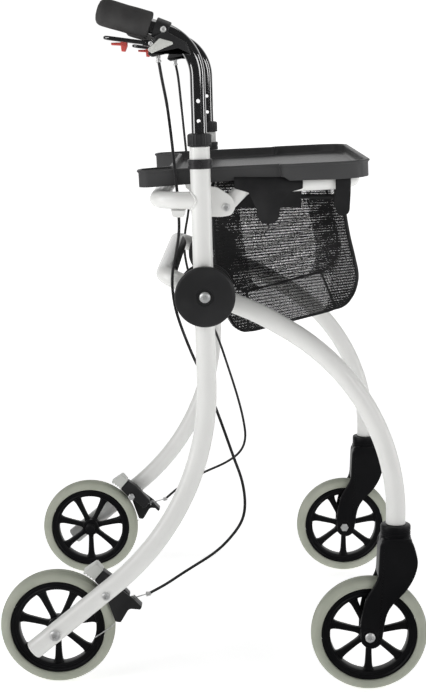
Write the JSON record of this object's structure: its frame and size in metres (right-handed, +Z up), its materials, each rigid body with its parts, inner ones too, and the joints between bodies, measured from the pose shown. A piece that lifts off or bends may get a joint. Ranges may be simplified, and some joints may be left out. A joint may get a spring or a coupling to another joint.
{
  "type": "rollator walker",
  "caption": "Folding indoor rollator with curved tube frame, spoked wheels, swivelling front forks, height-adjustable handles with brake levers, a lift-off tray and a mesh basket.",
  "frame": {"origin": "on the floor, midway between the axles and midway between the two sides", "axes": "+X forward in the direction of travel, +Y to the user's left, +Z up"},
  "size_m": [0.562, 0.5636, 0.8864],
  "materials": {
    "white_paint": "white powder coat on bent tube",
    "black_plastic": "black moulded plastic with a fine grain",
    "black_paint": "gloss black paint on tube and wire",
    "foam_grip": "dark grey foam grip",
    "tyre_rubber": "soft grey-green solid tyre",
    "steel": "bright plated steel fasteners",
    "red_plastic": "red moulded plastic",
    "grey_plastic": "light grey moulded plastic",
    "tray_plastic": "dark grey moulded tray with a satin face",
    "mesh_fabric": "black knitted mesh with bound edges",
    "cable_sheath": "black plastic cable sheath"
  },
  "bodies": {
    "rear_frame": {"right_side_tube": "white_paint", "right_leg_cap": "white_paint", "right_tray_ring": "black_plastic", "right_height_collar": "black_plastic", "right_cable_guide": "white_paint", "right_disc_cover": "black_plastic", "right_pivot_bolt": "steel", "right_rear_axle": "steel", "right_brake_pin": "steel", "right_brake_bracket": "black_plastic", "right_brake_cable": "cable_sheath", "right_rail_bolt": "steel", "left_side_tube": "white_paint", "left_leg_cap": "white_paint", "left_tray_ring": "black_plastic", "left_height_collar": "black_plastic", "left_cable_guide": "white_paint", "left_disc_cover": "black_plastic", "left_pivot_bolt": "steel", "left_rear_axle": "steel", "left_brake_pin": "steel", "left_brake_bracket": "black_plastic", "left_brake_cable": "cable_sheath", "left_rail_bolt": "steel", "upper_bow": "white_paint", "basket_rail": "white_paint", "basket": "mesh_fabric"},
    "front_frame": {"right_front_leg": "white_paint", "right_inner_cover": "black_plastic", "left_front_leg": "white_paint", "left_inner_cover": "black_plastic", "lower_bow": "white_paint", "fold_grip": "black_plastic"},
    "tray": {"tray": "tray_plastic"},
    "right_caster": {"right_caster_fork": "black_plastic", "right_front_axle": "steel"},
    "right_front_wheel": {"right_front_rim": "black_plastic", "right_front_tyre": "tyre_rubber"},
    "right_rear_wheel": {"right_rear_rim": "black_plastic", "right_rear_tyre": "tyre_rubber"},
    "right_handle": {"right_handle_tube": "black_paint", "right_grip": "foam_grip", "right_brake_housing": "black_plastic"},
    "right_lever": {"right_brake_lever": "black_paint"},
    "right_catch": {"right_parking_catch": "red_plastic"},
    "right_brake": {"right_brake_arm": "black_plastic", "right_brake_shoe": "grey_plastic"},
    "left_caster": {"left_caster_fork": "black_plastic", "left_front_axle": "steel"},
    "left_front_wheel": {"left_front_rim": "black_plastic", "left_front_tyre": "tyre_rubber"},
    "left_rear_wheel": {"left_rear_rim": "black_plastic", "left_rear_tyre": "tyre_rubber"},
    "left_handle": {"left_handle_tube": "black_paint", "left_grip": "foam_grip", "left_brake_housing": "black_plastic"},
    "left_lever": {"left_brake_lever": "black_paint"},
    "left_catch": {"left_parking_catch": "red_plastic"},
    "left_brake": {"left_brake_arm": "black_plastic", "left_brake_shoe": "grey_plastic"}
  },
  "joints": [
    {"name": "front_fold", "type": "hinge", "parent": "rear_frame", "child": "front_frame", "pos_m": [-0.009, 0, 0.522], "axis": [0, 1, 0], "range_deg": [0, 28]},
    {"name": "tray_lift", "type": "slide", "parent": "rear_frame", "child": "tray", "axis": [0, 0, 1], "range_m": [0, 0.06]},
    {"name": "right_caster_swivel", "type": "hinge", "parent": "front_frame", "child": "right_caster", "pos_m": [0.237, -0.25, 0.24], "axis": [0, 0, 1], "continuous": true},
    {"name": "right_front_spin", "type": "hinge", "parent": "right_caster", "child": "right_front_wheel", "pos_m": [0.205, -0.25, 0.076], "axis": [0, 1, 0], "continuous": true},
    {"name": "right_rear_spin", "type": "hinge", "parent": "rear_frame", "child": "right_rear_wheel", "pos_m": [-0.205, -0.23, 0.076], "axis": [0, 1, 0], "continuous": true},
    {"name": "right_height", "type": "slide", "parent": "rear_frame", "child": "right_handle", "axis": [-0.0292, 0, 0.9996], "range_m": [-0.05, 0.075], "deforming": ["right_brake_cable"]},
    {"name": "right_squeeze", "type": "hinge", "parent": "right_handle", "child": "right_lever", "pos_m": [-0.075, -0.257, 0.833], "axis": [0, 1, 0], "range_deg": [0, 8], "stiffness_Nm_per_rad": 1.2, "springref_deg": -5.73},
    {"name": "right_catch_turn", "type": "hinge", "parent": "right_lever", "child": "right_catch", "pos_m": [-0.108, -0.257, 0.836], "axis": [0, 1, 0], "range_deg": [0, 20]},
    {"name": "right_brake_press", "type": "hinge", "parent": "rear_frame", "child": "right_brake", "pos_m": [-0.138, -0.23, 0.1295], "axis": [0, 1, 0], "range_deg": [-6.4, 0]},
    {"name": "left_caster_swivel", "type": "hinge", "parent": "front_frame", "child": "left_caster", "pos_m": [0.237, 0.25, 0.24], "axis": [0, 0, 1], "continuous": true},
    {"name": "left_front_spin", "type": "hinge", "parent": "left_caster", "child": "left_front_wheel", "pos_m": [0.205, 0.25, 0.076], "axis": [0, 1, 0], "continuous": true},
    {"name": "left_rear_spin", "type": "hinge", "parent": "rear_frame", "child": "left_rear_wheel", "pos_m": [-0.205, 0.23, 0.076], "axis": [0, 1, 0], "continuous": true},
    {"name": "left_height", "type": "slide", "parent": "rear_frame", "child": "left_handle", "axis": [-0.0292, 0, 0.9996], "range_m": [-0.05, 0.075], "deforming": ["left_brake_cable"]},
    {"name": "left_squeeze", "type": "hinge", "parent": "left_handle", "child": "left_lever", "pos_m": [-0.075, 0.257, 0.833], "axis": [0, 1, 0], "range_deg": [0, 8], "stiffness_Nm_per_rad": 1.2, "springref_deg": -5.73},
    {"name": "left_catch_turn", "type": "hinge", "parent": "left_lever", "child": "left_catch", "pos_m": [-0.108, 0.257, 0.836], "axis": [0, 1, 0], "range_deg": [0, 20]},
    {"name": "left_brake_press", "type": "hinge", "parent": "rear_frame", "child": "left_brake", "pos_m": [-0.138, 0.23, 0.1295], "axis": [0, 1, 0], "range_deg": [-6.4, 0]}
  ],
  "couplings": [
    {"joint": "right_brake_press", "follows": "right_squeeze", "ratio": -0.8},
    {"joint": "left_brake_press", "follows": "left_squeeze", "ratio": -0.8}
  ]
}
